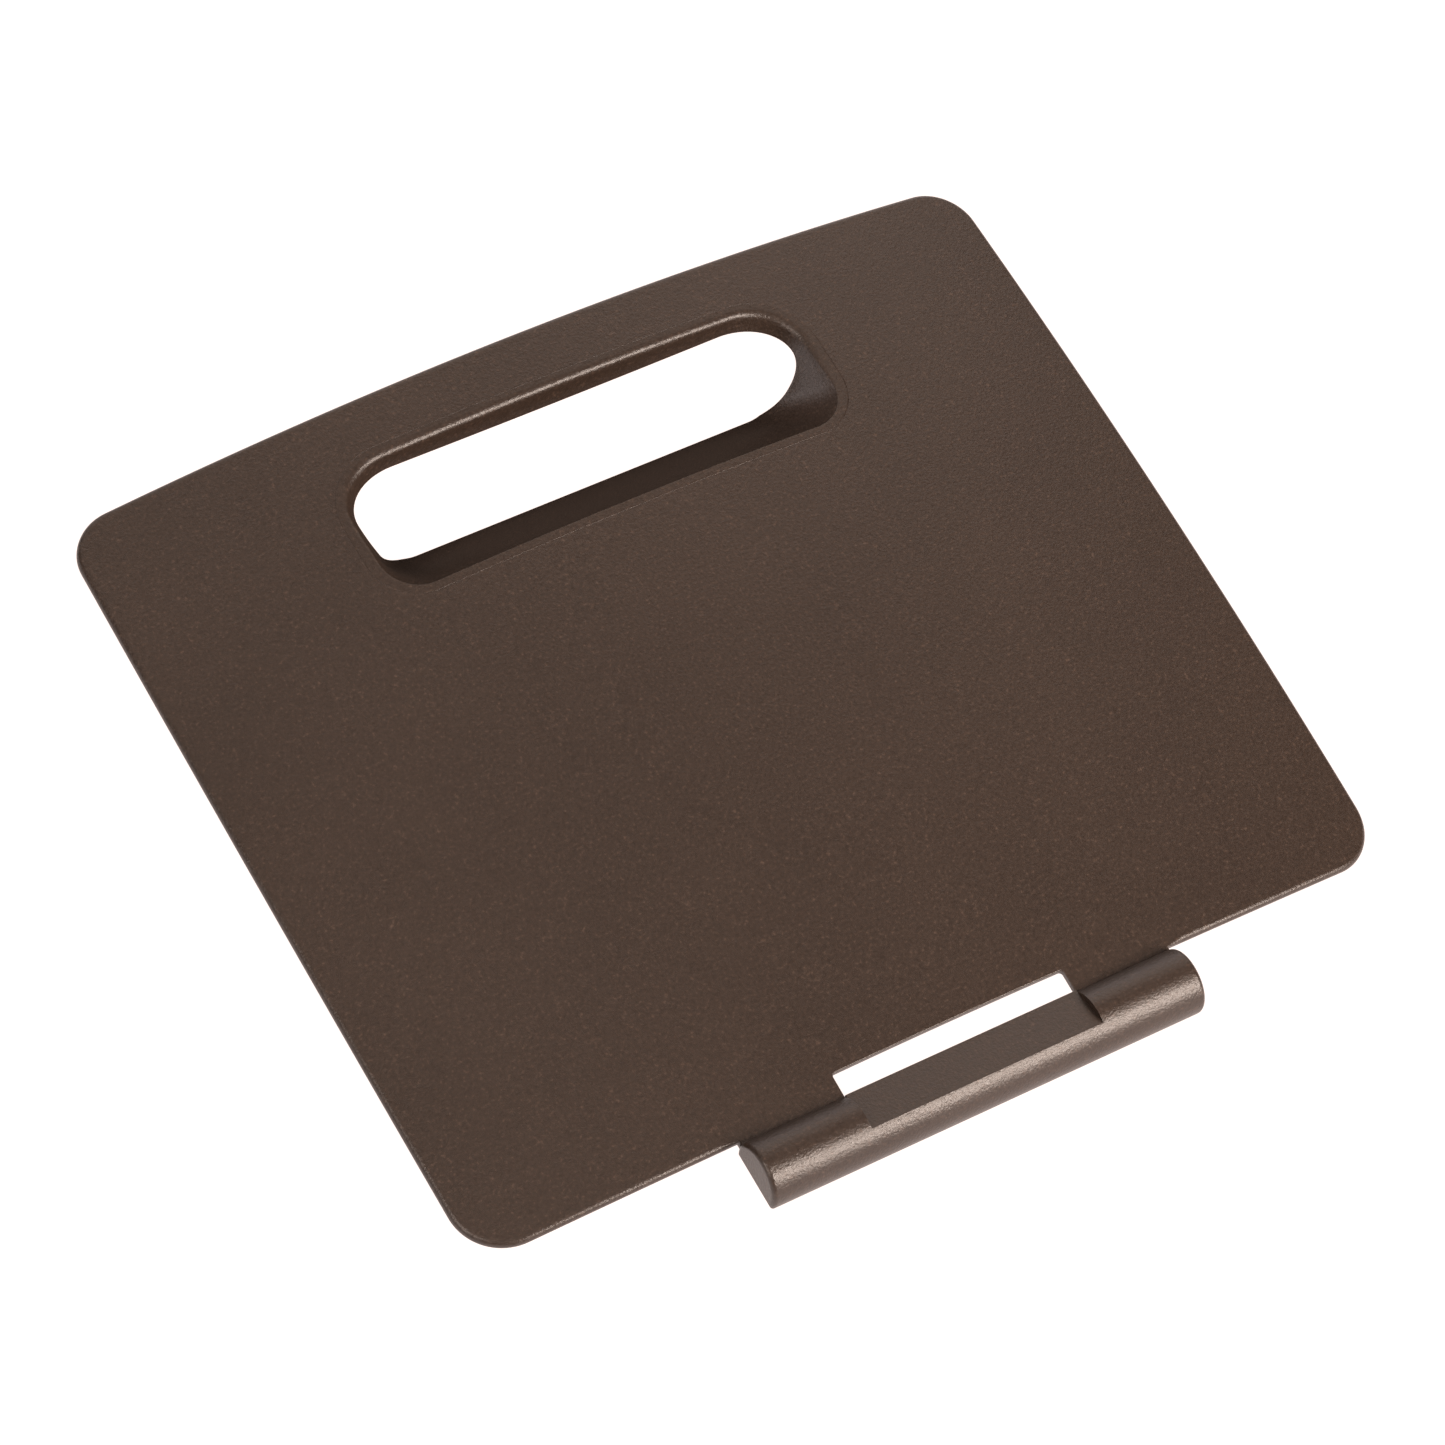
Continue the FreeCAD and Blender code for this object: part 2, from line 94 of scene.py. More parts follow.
TAB_GAP = 0.4                # the panel's tab stops short of the bar's ends
TAB_DEPTH = 1.1              # and runs this far into the bar
TAB_STOPS = (30, 36, 42)     # points along the tab's hidden edge
SLOT_STOPS = (0, 4, 8, 12, 16, 20)
SLOT_SIDE = 2.5              # of the slot's end, before it meets the bar

# Grip opening and scoop
GRIP_HALF = 50.0
GRIP_FRONT = 124.7
GRIP_BACK = 153.3
GRIP_FRONT_CORNER = 8.0
GRIP_BACK_CORNER = 11.0
FOOT_FRONT = 138.4
FOOT_BACK = 150.0
FOOT_HALF = 42.8
FOOT_FRONT_CORNER = (6.0, 3.5)
FOOT_BACK_CORNER = (14.0, 3.0)
SKIRT_DEPTH = 7.0
CUT_START = 138.8            # the front wall's ends rise in a superellipse
CUT_END = 144.3
CUT_POWER = 2.6
SCOOP_DEPTH = 17.5
SCULPT = 0.3                 # how much flatter the wall starts in the front corners
SCULPT_X = (24.0, 42.0)
SCULPT_Y = (10.0, 22.0)
SCOOP_WALL = 1.2
FRONT_WALL_EXTRA = 0.4
ROLL_FRONT = 0.24            # the opening's edge is crisp in front
ROLL_BACK = 1.44             # and well rounded at the back
ROLL_FADE = (2.0, 4.0)
ROLL_STEPS = 7
WALL_RINGS = 22
RIM_STEPS = 8
FLANGE_WIDTH = 2.5
FLANGE_FRONT = 1.8
FLANGE_THICKNESS = 0.9
LEDGE_OUT = 1.3
SEAM_ROUND = 0.05
SEAM_BACK_SHARE = 0.2        # the witness line almost vanishes at the back
SEAM_MIDDLE = 0.3            # its depth halfway round its edge
FLANGE_SHARES = (0.15, 0.5, 0.85)
LUG_LENGTH = 8.0
LUG_REACH = 1.0
LUG_BITE = 2.0
LUG_HEIGHT = 1.2
LUG_SPACING = 50.0
LUG_EDGE_ROUND = 0.2

# Building allowances
ABOVE = 8.0                  # the facet's cutter runs this far above the crown
TRIM_ABOVE = 10.0
TRIM_HALF = 60.0
TRIM_STEPS = 24
PAST = 2.0                   # cutters run this far past the edges that they trim
CLEAR = 1.0
HAIR = 0.02                  # keeps faces from lying on each other

# Finishes; ramps are (place on the noise's scale, colour), roughnesses are (low, high)
TAUPE = ((0.3, (0.0295, 0.0185, 0.0130)), (0.7, (0.0340, 0.0216, 0.0154)))
# The plastic's grain tone: the two lower stops are the grain's own mottle, and the top stop
# brightens sparse flecks 2.2 times as painted glints, a painted highlight
GRAIN_TONE_AND_PAINTED_GLINTS = ((0.30, (0.80, 0.80, 0.80)), (0.62, (1.12, 1.11, 1.10)), (0.77, (2.2, 2.2, 2.2)))
PLASTIC_ROUGHNESS = (0.30, 0.44)
PLASTIC_IOR = 1.55
NYLON = ((0.0, (0.66, 0.62, 0.52)), (1.0, (0.80, 0.77, 0.68)))
NYLON_ROUGHNESS = 0.42
ZINC = (0.62, 0.62, 0.60)
ZINC_ROUGHNESS = (0.28, 0.46)
EVEN_GRAIN = (1.0, 1.0, 1.0)
STEEL = (0.66, 0.66, 0.67)
STEEL_ROUGHNESS = (0.16, 0.34)
LINES_ALONG_X = (0.04, 1.0, 1.0)
METAL_SHADE = 0.8            # the metals' darkest colour, as a share of the palest
MIX_A, MIX_B, MIX_RESULT = 6, 7, 2           # a Mix node's colour sockets

# Studio; the camera and the lights are placed in metres
FLOOR_COLOUR = (0.08, 0.07, 0.065)
FLOOR_ROUGHNESS = 0.95
FLOOR_GLOW = (1.0, 0.87, 0.83)
FLOOR_GLOW_STRENGTH = 1.2
FLOOR_HALF = 2600.0
FLOOR_Z = -0.3
CAMERA_PLACE = Vector((-0.4211, -0.3870, 0.9797))
CAMERA_AIM = Vector((-0.0083, -0.0019, 0.0175))
CAMERA_ROLL = 19.79
CAMERA_LENS = 149.17
SENSOR_WIDTH = 36.0
CLIP_START = 0.05
WARM = (1.0, 0.84, 0.74)
PALE = (1.0, 0.88, 0.86)
MIDDLE = (0.0, 0.0, 0.01)
GRIP_END = (0.050, 0.062, 0.0125)
LIGHTS = (                   # name, place, aim, size, power, colour, what it lights
    ("key_front", (0.58, -1.06, 0.97), MIDDLE, (0.72, 0.72), 42.0, WARM, "all"),
    ("fill_left", (-1.20, -0.16, 0.96), MIDDLE, (0.8, 0.8), 13.0, WARM, "all"),
    ("overhead", (-0.06, 0.14, 1.48), MIDDLE, (0.3, 0.3), 1.3, WARM, "all"),
    ("back_right", (0.72, 0.95, 0.86), MIDDLE, (1.1, 0.8), 4.0, WARM, "all"),
    ("back_left", (-0.20, 1.10, 0.95), MIDDLE, (0.8, 0.6), 2.3, WARM, "all"),
    ("low_back", (0.50, 1.35, 0.30), MIDDLE, (1.6, 0.35), 3.6, PALE, "skin"),
    ("low_front", (0.45, -1.42, 0.24), MIDDLE, (1.6, 0.35), 2.6, PALE, "skin"),
    ("low_left", (-0.50, 0.512, -0.20), GRIP_END, (0.5, 0.3), 4.0, PALE, "liner"),
    ("under_front", (0.0, -0.95, -0.60), MIDDLE, (0.8, 0.5), 16.0, PALE, "liner"),
)
WORLD_STRENGTH = 0.04

# Places in the part's frame
HINGE_Y = -(PANEL_LENGTH + BAR_DEPTH) / 2 + BAR_DEPTH
HANDLE_Y = HINGE_Y + PANEL_LENGTH
MIDDLE_Y = (HINGE_Y + HANDLE_Y) / 2
CROWN_Z = SCOOP_DEPTH
BAR_Y = HINGE_Y - BAR_RADIUS
BAR_Z = CROWN_Z - BAR_AXIS_DROP
FLAT_Z = CROWN_Z - BAR_FLAT_DROP
ROD_Y = HINGE_Y - ROD_BACK
ROD_Z = CROWN_Z - ROD_DROP
HALF_SLOT = SLOT_LENGTH / 2


# ---------------------------------------------------------------- mesh helpers

def new_object(name, mesh):
    """An object with the mesh, in the scene."""
    piece = bpy.data.objects.new(name, mesh)
    bpy.context.scene.collection.objects.link(piece)
    return piece


def mesh_object(name, points, faces):
    """A smooth-shaded object from points in millimetres."""
    mesh = bpy.data.meshes.new(name)
    mesh.from_pydata([[c * MM for c in p] for p in points], [], faces)
    bm = bmesh.new()
    bm.from_mesh(mesh)
    bmesh.ops.remove_doubles(bm, verts=bm.verts, dist=MERGE_DISTANCE)
    bmesh.ops.recalc_face_normals(bm, faces=bm.faces)
    for face in bm.faces:
        face.smooth = True
    bm.to_mesh(mesh)
    bm.free()
    return new_object(name, mesh)


def apply_modifiers(piece):
    """Bakes the modifiers into the mesh, so that nothing live is left on it."""
    depsgraph = bpy.context.evaluated_depsgraph_get()
    mesh = bpy.data.meshes.new_from_object(piece.evaluated_get(depsgraph))
    piece.modifiers.clear()
    piece.data = mesh


def weight_normals(piece):
    """Keeps the broad faces evenly shaded next to narrow rounded edges."""
    modifier = piece.modifiers.new("weighted", "WEIGHTED_NORMAL")
    modifier.mode = "FACE_AREA"
    modifier.weight = NORMAL_WEIGHT
    modifier.keep_sharp = True


def surface_z(x, y, depth=0.0):
    """The height of the doubly curved surface, at a depth below the panel's top."""
    sag = ARCH_RADIUS - math.sqrt((ARCH_RADIUS - depth) ** 2 - x * x)
    axis_z = CROWN_Z - CROWN_RADIUS
    return axis_z + math.sqrt((CROWN_RADIUS - sag) ** 2 - (y - MIDDLE_Y) ** 2)


def on_surface(point, depth=0.0):
    """A plan point lifted onto the surface."""
    return (point[0], point[1], surface_z(point[0], point[1], depth))


def inset(outline, distance):
    """A closed outline (anticlockwise) moved inwards along its own normals."""
    count = len(outline)
    distances = distance if isinstance(distance, list) else [distance] * count
    moved = []
    for i, (x, y) in enumerate(outline):
        before = outline[i - 1]
        after = outline[(i + 1) % count]
        first = Vector((x - before[0], y - before[1])).normalized()
        second = Vector((after[0] - x, after[1] - y)).normalized()
        inward = Vector((-first.y - second.y, first.x + second.x))
        if inward.length < 1e-9:
            inward = Vector((-first.y, first.x))
        inward.normalize()
        spread = max(SHARPEST, inward.dot(Vector((-first.y, first.x))))
        step = distances[i] / spread
        moved.append((x + inward.x * step, y + inward.y * step))
    return moved


def inside(point, outline):
    """Whether a plan point lies within a closed outline."""
    x, y = point
    crossing = False
    for (ax, ay), (bx, by) in zip(outline, outline[1:] + outline[:1]):
        if (ay > y) != (by > y) and x < (bx - ax) * (y - ay) / (by - ay) + ax:
            crossing = not crossing
    return crossing


def strips(rings, closed=False):
    """Quads between neighbouring rings; each ring is a closed list of point numbers."""
    faces = []
    pairs = list(zip(rings, rings[1:]))
    if closed:
        pairs.append((rings[-1], rings[0]))
    for low, high in pairs:
        count = len(low)
        for i in range(count):
            j = (i + 1) % count
            faces.append((low[i], low[j], high[j], high[i]))
    return faces


# -------------------------------------------------------------------- outlines

def corner_arc(centre, radius, start, steps):
    """Points along a quarter turn, anticlockwise from an angle in degrees."""
    points = []
    for i in range(steps + 1):
        angle = math.radians(start + 90.0 * i / steps)
        points.append((centre[0] + radius[0] * math.cos(angle),
                       centre[1] + radius[1] * math.sin(angle)))
    return points


def rounded_outline(half, front, back, front_corner, back_corner, along=48, up=14, turn=16):
    """A rounded rectangle, anticlockwise from its front left corner's end."""
    low = HINGE_Y + front
    high = HINGE_Y + back
    fx, fy = front_corner
    bx, by = back_corner

    def run(start, end, steps):
        return [(start[0] + (end[0] - start[0]) * i / steps,
                 start[1] + (end[1] - start[1]) * i / steps) for i in range(1, steps)]

    front_right = corner_arc((half - fx, low + fy), (fx, fy), -90, turn)
    back_right = corner_arc((half - bx, high - by), (bx, by), 0, turn)
    back_left = corner_arc((bx - half, high - by), (bx, by), 90, turn)
    front_left = corner_arc((fx - half, low + fy), (fx, fy), 180, turn)
    points = front_right + run(front_right[-1], back_right[0], up)
    points += back_right + run(back_right[-1], back_left[0], along)
    points += back_left + run(back_left[-1], front_left[0], up)
    points += front_left + run(front_left[-1], front_right[0], along)
    return points


def opening_outline(grow, front_grow):
    """The grip opening grown outwards, by its own distance at the front."""
    front = GRIP_FRONT_CORNER + grow
    back = GRIP_BACK_CORNER + grow
    return rounded_outline(GRIP_HALF + grow, GRIP_FRONT - front_grow, GRIP_BACK + grow,
                           (front, front), (back, back))


def seat_outline(grow=0.0):
    """The outer edge of the scoop's flange, and of its seat in the panel."""
    return opening_outline(FLANGE_WIDTH + grow, FLANGE_FRONT + grow)


def side_x(y):
    """The panel's bowed right side."""
    return PANEL_WIDTH / 2 - SIDE_BOW * ((y - MIDDLE_Y) / (PANEL_LENGTH / 2)) ** 2


def handle_y(x):
    """The panel's bowed edge beside the grip."""
    return HANDLE_Y - HANDLE_EDGE_BOW * (x / (PANEL_WIDTH / 2)) ** 2


def hinge_y(x):
    """The panel's bowed edge beside the bar."""
    return HINGE_Y + HINGE_EDGE_BOW * (x / (PANEL_WIDTH / 2)) ** 2


def right_corner(edge_y, radius, sign):
    """Points round a right-hand corner, where the bowed edges' tangents meet."""
    y_side = edge_y(PANEL_WIDTH / 2) - sign * radius
    x_edge = PANEL_WIDTH / 2 - radius
    for _ in range(CORNER_ROUNDS):
        lean_side = 2 * SIDE_BOW * (y_side - MIDDLE_Y) / (PANEL_LENGTH / 2) ** 2
        normal_side = Vector((1, lean_side)).normalized()
        centre = Vector((side_x(y_side), y_side)) - normal_side * radius
        slope = (edge_y(x_edge + NUDGE) - edge_y(x_edge - NUDGE)) / (2 * NUDGE)
        normal_edge = Vector((-slope, 1)).normalized() * sign
        other = Vector((x_edge, edge_y(x_edge))) - normal_edge * radius
        y_side += other.y - centre.y
        x_edge += centre.x - other.x
    first = math.atan2(normal_side.y, normal_side.x)
    last = math.atan2(normal_edge.y, normal_edge.x)
    points = []
    for i in range(CORNER_STEPS + 1):
        angle = first + (last - first) * i / CORNER_STEPS
        points.append((centre.x + radius * math.cos(angle),
                       centre.y + radius * math.sin(angle)))
    return points


def panel_right_half():
    """The right half of the panel's outline, from the slot's middle to the handle's."""
    tab_x = BAR_LENGTH / 2 - TAB_GAP
    tab_y = HINGE_Y - TAB_DEPTH
    slot_y = HINGE_Y - FACET_BACK + SLOT_WIDTH
    points = [(x, slot_y) for x in SLOT_STOPS]
    arc = corner_arc((HALF_SLOT - SLOT_CORNER, slot_y - SLOT_CORNER),
                     (SLOT_CORNER, SLOT_CORNER), 0, SLOT_CORNER_STEPS)
    points += arc[::-1]
    points += [(HALF_SLOT, slot_y - SLOT_SIDE), (HALF_SLOT, tab_y)]
    points += [(x, tab_y) for x in (*TAB_STOPS, tab_x)]
    points += [(tab_x, hinge_y(tab_x))]
    low_corner = right_corner(hinge_y, HINGE_CORNER_RADIUS, -1)[::-1]
    high_corner = right_corner(handle_y, HANDLE_CORNER_RADIUS, 1)
    edge_steps = 12
    for i in range(1, edge_steps):
        x = tab_x + (low_corner[0][0] - tab_x) * i / edge_steps
        points.append((x, hinge_y(x)))
    points += low_corner
    side_steps = 36
    for i in range(1, side_steps):
        y = low_corner[-1][1] + (high_corner[0][1] - low_corner[-1][1]) * i / side_steps
        points.append((side_x(y), y))
    points += high_corner
    for i in range(1, edge_steps * 2 + 1):
        x = high_corner[-1][0] * (1 - i / (edge_steps * 2))
        points.append((x, handle_y(x)))
    return points


def panel_outline():
    """The panel's whole outline, anticlockwise from the slot's middle."""
    right = panel_right_half()
    left = [(-x, y) for x, y in right[1:-1]]
    return right + left[::-1]


# ----------------------------------------------------------------------- panel

def fill_between(outer, hole, depth, points):
    """Triangles between the innermost rings, with even points between them."""
    plan = [points[i][:2] for i in outer + hole]
    outer_plan = [points[i][:2] for i in outer]
    hole_plan = [points[i][:2] for i in hole]
    clear_outer = inset(outer_plan, FILL_MARGIN)
    clear_hole = inset(hole_plan[::-1], FILL_MARGIN)[::-1]
    x = -PANEL_WIDTH / 2
    while x < PANEL_WIDTH / 2:
        y = HINGE_Y
        while y < HANDLE_Y:
            if inside((x, y), clear_outer) and not inside((x, y), clear_hole):
                plan.append((x, y))
            y += FILL_SPACING
        x += FILL_SPACING
    edges = []
    for start, ring in ((0, outer), (len(outer), hole)):
        for i in range(len(ring)):
            edges.append((start + i, start + (i + 1) % len(ring)))
    flat = [Vector(p) for p in plan]
    result = delaunay_2d_cdt(flat, edges, [], 0, FILL_TOLERANCE)
    numbers = []
    fixed = outer + hole
    for i, origins in enumerate(result[3]):
        first = min(origins) if origins else None
        if first is not None and first < len(fixed):
            numbers.append(fixed[first])
        else:
            numbers.append(len(points))
            points.append(on_surface(result[0][i], depth))
    faces = []
    for face in result[2]:
        middle = sum((result[0][i] for i in face), Vector((0, 0))) / len(face)
        if inside(middle, outer_plan) and not inside(middle, hole_plan):
            faces.append([numbers[i] for i in face])
    return faces


def round_steps(radius, steps):
    """(inset, drop) pairs round a convex edge from its face to its side."""
    pairs = []
    for i in range(steps + 1):
        angle = math.radians(90.0 * i / steps)
        pairs.append((radius * (1 - math.sin(angle)), radius * (1 - math.cos(angle))))
    return pairs


def edge_round(x, y):
    """The top edge's radius: crisp in the slot and where the bar covers it."""
    crisp = abs(x) < BAR_LENGTH / 2 and y < HINGE_Y + SLOT_WIDTH + CLEAR
    return SLOT_ROUND if crisp else EDGE_ROUND


def build_panel():
    """The arched skin: rounded outer edge, slot notch and a stepped grip seat."""
    points = []

    def ring(plan, depth):
        start = len(points)
        points.extend(on_surface(p, depth) for p in plan)
        return list(range(start, len(points)))

    outline = panel_outline()
    rounds = [edge_round(x, y) for x, y in outline]
    outer = [ring(inset(outline, EDGE_ROUND + RING_MARGIN), 0.0)]
    for step_in, drop in round_steps(1.0, EDGE_ROUND_STEPS):
        inward = [step_in * r for r in rounds]
        start = len(points)
        points.extend(on_surface(p, drop * r) for p, r in zip(inset(outline, inward), rounds))
        outer.append(list(range(start, len(points))))
    for step_in, drop in reversed(round_steps(UNDER_ROUND, SMALL_ARC_STEPS)):
        outer.append(ring(inset(outline, step_in), PANEL_THICKNESS - drop))
    outer.append(ring(inset(outline, UNDER_ROUND + RING_MARGIN), PANEL_THICKNESS))

    hole = [ring(seat_outline(RING_MARGIN), 0.0)]
    for step_in, drop in round_steps(SEAM_ROUND, SMALL_ARC_STEPS):
        hole.append(ring(seat_outline(step_in), drop))
    hole.append(ring(seat_outline(), FLANGE_THICKNESS))
    ledge = opening_outline(LEDGE_OUT, LEDGE_OUT)
    hole.append(ring(ledge, FLANGE_THICKNESS))
    hole.append(ring(ledge, PANEL_THICKNESS))
    ledge_ring = LEDGE_OUT + RING_MARGIN
    hole.append(ring(opening_outline(ledge_ring, ledge_ring), PANEL_THICKNESS))

    faces = strips(outer) + strips(hole)
    faces += fill_between(outer[0], hole[0], 0.0, points)
    faces += fill_between(outer[-1], hole[-1], PANEL_THICKNESS, points)
    panel = mesh_object("panel_skin", points, faces)
    weight_normals(panel)
    apply_modifiers(panel)
    return panel


# ----------------------------------------------------------------------- scoop

def smooth(low, high, value):
    """0 below low, 1 above high and an even S between them."""
    t = min(1.0, max(0.0, (value - low) / (high - low)))
    return t * t * (3 - 2 * t)


def rim_z(y):
    """The scoop's lower edge: the front wall reaches the foot, the rest is short."""
    level = CROWN_Z - SKIRT_DEPTH
    t = (HINGE_Y + CUT_END - y) / (CUT_END - CUT_START)
    t = min(1.0, max(0.0, t))
    return level * (1 - t ** CUT_POWER) ** (1 / CUT_POWER)


def back_share(y):
    """0 at the opening's front edge, rising smoothly to 1 at its back edge."""
    return smooth(HINGE_Y + GRIP_FRONT + ROLL_FADE[0], HINGE_Y + GRIP_BACK - ROLL_FADE[1], y)


def sculpt_at(x, y):
    """How strongly the wall is sculpted: only in the front corners."""
    front_y = HINGE_Y + GRIP_FRONT
    return (SCULPT * smooth(*SCULPT_X, abs(x))
            * (1 - smooth(front_y + SCULPT_Y[0], front_y + SCULPT_Y[1], y)))


def meet_rim(top, foot):
    """Where the wall's line from the opening to the foot meets the lower edge."""
    low, high = 0.0, 1.0
    for _ in range(HALVINGS):
        middle = (low + high) / 2
        point = top.lerp(foot, middle)
        if point.z > rim_z(point.y):
            low = middle
        else:
            high = middle
    return top.lerp(foot, low)


def flange_profile(seat, out, inner, seam):
    """From the witness line, over its tiny round, inwards to the roll."""
    flat = (seat[0] - out.x * seam, seat[1] - out.y * seam)
    between = ((seat[0] + flat[0]) / 2, (seat[1] + flat[1]) / 2)
    profile = [Vector(on_surface(seat, seam)), Vector(on_surface(between, seam * SEAM_MIDDLE)),
               Vector(on_surface(flat))]
    for share in FLANGE_SHARES:
        x = flat[0] + (inner.x - flat[0]) * share
        y = flat[1] + (inner.y - flat[1]) * share
        profile.append(Vector(on_surface((x, y))))
    return profile


def roll_profile(start, corner, finish):
    """A parabola from the flange over the opening's edge onto the wall."""
    profile = []
    for k in range(ROLL_STEPS + 1):
        t = k / ROLL_STEPS
        profile.append(start * (1 - t) ** 2 + corner * 2 * t * (1 - t) + finish * t * t)
    return profile


def wall_profile(start, end, sculpt):
    """Down the inside of the wall; a sculpted one starts flatter and ends steeper."""
    profile = []
    for k in range(1, WALL_RINGS):
        t = k / WALL_RINGS
        point = start.lerp(end, t)
        point.z += (end.z - start.z) * -sculpt * math.sin(2 * math.pi * t) / (2 * math.pi)
        profile.append(point)
    return profile


def rim_profile(centre, side, down, radius):
    """Half a turn round the wall's lower edge, never below the foot's level."""
    profile = []
    for k in range(RIM_STEPS + 1):
        angle = math.pi * k / RIM_STEPS
        point = (centre - side * radius * math.cos(angle)
                 + down * radius * math.sin(angle))
        point.z = max(0.0, point.z)
        profile.append(point)
    return profile


def liner_profile(opening, outward, seat, foot):
    """The liner's closed section at one point of the opening's outline."""
    top = Vector(on_surface(opening))
    foot = Vector((*foot, 0.0))
    out = Vector((outward[0] - opening[0], outward[1] - opening[1], 0.0)).normalized()
    down = (foot - top).normalized()
    rim = meet_rim(top, foot)
    back = back_share(opening[1])
    roll = ROLL_FRONT + (ROLL_BACK - ROLL_FRONT) * back
    seam = SEAM_ROUND * (1 - (1 - SEAM_BACK_SHARE) * back)
    radius = (SCOOP_WALL + FRONT_WALL_EXTRA * (1 - back)) / 2

    inner = top + out * roll
    finish = top + down * roll
    rim_start = rim - down * radius
    side = (out - down * out.dot(down)).normalized()
    centre = rim_start + side * radius
    outer_low = centre + side * radius
    climb = (surface_z(*opening, FLANGE_THICKNESS) - outer_low.z) / -down.z
    outer_high = outer_low - down * climb

    profile = flange_profile(seat, out, inner, seam)
    profile += roll_profile(Vector(on_surface((inner.x, inner.y))), top, finish)
    profile += wall_profile(finish, rim_start, sculpt_at(*opening))
    profile += rim_profile(centre, side, down, radius)
    profile += [outer_low.lerp(outer_high, k / RIM_STEPS) for k in range(1, RIM_STEPS + 1)]
    profile.append(Vector(on_surface(seat, FLANGE_THICKNESS)))
    return profile


def build_scoop():
    """The grip's liner, as one closed strip swept round the opening."""
    opening = opening_outline(0.0, 0.0)
    foot = rounded_outline(FOOT_HALF, FOOT_FRONT, FOOT_BACK, FOOT_FRONT_CORNER,
                           FOOT_BACK_CORNER)
    stations = zip(opening, inset(opening, -1.0), seat_outline(), foot)
    profiles = [liner_profile(*station) for station in stations]
    points = []
    rings = []
    for level in zip(*profiles):
        start = len(points)
        points.extend(point[:] for point in level)
        rings.append(list(range(start, len(points))))
    scoop = mesh_object("grip_liner", points, strips(rings, closed=True))
    weight_normals(scoop)
    apply_modifiers(scoop)
    return scoop


# ------------------------------------------------------------------- hinge bar

def prism(outline, x_low, x_high):
    """A solid from a (y, z) outline, drawn out along X."""
    count = len(outline)
    points = [(x_low, y, z) for y, z in outline] + [(x_high, y, z) for y, z in outline]
    faces = [tuple(range(count)), tuple(range(2 * count - 1, count - 1, -1))]
    for i in range(count):
        j = (i + 1) % count
        faces.append((i, j, j + count, i + count))
    return mesh_object("prism", points, faces)


def bar_section(inset_by):
    """The bar's D outline in (y, z), evenly inset."""
    radius = BAR_RADIUS - inset_by
    foot = math.degrees(math.asin((BAR_Z - FLAT_Z - inset_by) / radius))
    return arc_points((BAR_Y, BAR_Z), radius, -foot, 180 + foot, BAR_ARC_STEPS)


def round_ended_bar():
    """The D-section drawn out along X, with its end edges rounded."""
    half = BAR_LENGTH / 2
    points = []
    rings = []
    near = [(drop - half, step_in) for step_in, drop in round_steps(BAR_END_ROUND, BAR_END_STEPS)]
    for x, step_in in near + [(-x, step_in) for x, step_in in near[::-1]]:
        start = len(points)
        points.extend((x, y, z) for y, z in bar_section(step_in))
        rings.append(list(range(start, len(points))))
    faces = strips(rings) + [tuple(rings[0]), tuple(rings[-1][::-1])]
    return mesh_object("hinge_bar_shell", points, faces)


def block(x, y, z):
    """A box from pairs of limits."""
    return prism([(y[0], z[0]), (y[1], z[0]), (y[1], z[1]), (y[0], z[1])], x[0], x[1])


def arc_points(centre, radius, start, end, steps):
    """Points along an arc, from one angle in degrees to another."""
    points = []
    for i in range(steps + 1):
        angle = math.radians(start + (end - start) * i / steps)
        points.append((centre[0] + radius * math.cos(angle),
                       centre[1] + radius * math.sin(angle)))
    return points


def round_bar(radius, x, y, z, steps=72):
    """A cylinder along X."""
    return prism(arc_points((y, z), radius, 0, 360 - 360 / steps, steps - 1), x[0], x[1])


def combine(base, other, operation):
    """Joins or cuts the first piece with the second, which is used up."""
    modifier = base.modifiers.new("combine", "BOOLEAN")
    modifier.operation = operation
    modifier.solver = "EXACT"
    modifier.object = other
    apply_modifiers(base)
    bpy.data.objects.remove(other, do_unlink=True)


def soften(piece, radius, segments):
    """Rounds a piece's sharp edges."""
    bevel = piece.modifiers.new("edges", "BEVEL")
    bevel.width = radius * MM
    bevel.segments = segments
    bevel.limit_method = "ANGLE"
    bevel.angle_limit = math.radians(SOFTEN_ANGLE)
    bevel.use_clamp_overlap = True
    apply_modifiers(piece)
    for polygon in piece.data.polygons:
        polygon.use_smooth = True
    weight_normals(piece)
    apply_modifiers(piece)


def mirrored(pair, sign):
    """A pair of X limits, moved to the left side by a sign of -1."""
    return pair if sign > 0 else (-pair[1], -pair[0])


def facet_line():
    """The facet's rear edge, its ridge and its slope."""
    back = (HINGE_Y - FACET_BACK, CROWN_Z - FACET_BACK_DROP)
    ridge_y = HINGE_Y - FACET_RIDGE
    ridge = (ridge_y, BAR_Z + math.sqrt(BAR_RADIUS ** 2 - (ridge_y - BAR_Y) ** 2))
    slope = (ridge[1] - back[1]) / (back[0] - ridge[0])
    return back, ridge, slope


def under_skin_top(y_low, y_high):
    """A block above the panel's underside, to trim the bar's tongues with."""
    points = []
    rows = []
    for k in range(TRIM_STEPS + 1):
        x = -TRIM_HALF + 2 * TRIM_HALF * k / TRIM_STEPS
        row = []
        for y in (y_low, (y_low + y_high) / 2, y_high):
            row.append(len(points))
            points.append(on_surface((x, y), PANEL_THICKNESS))
        for y in (y_high, y_low):
            row.append(len(points))
            points.append((x, y, CROWN_Z + TRIM_ABOVE))
        rows.append(row)
    faces = strips(rows)
    faces.append(tuple(rows[0]))
    faces.append(tuple(rows[-1][::-1]))
    return mesh_object("trim", points, faces)


def roof_lip(back, slope, drop):
    """The facet's rear strip, which reaches from the bar to the slot."""
    inner_y = BAR_Y + CLEAR
    inner_z = back[1] + slope * (back[0] - inner_y)
    return prism([back, (inner_y, inner_z - HAIR), (inner_y, inner_z - drop),
                  (back[0], back[1] - drop)], -HALF_SLOT, HALF_SLOT)


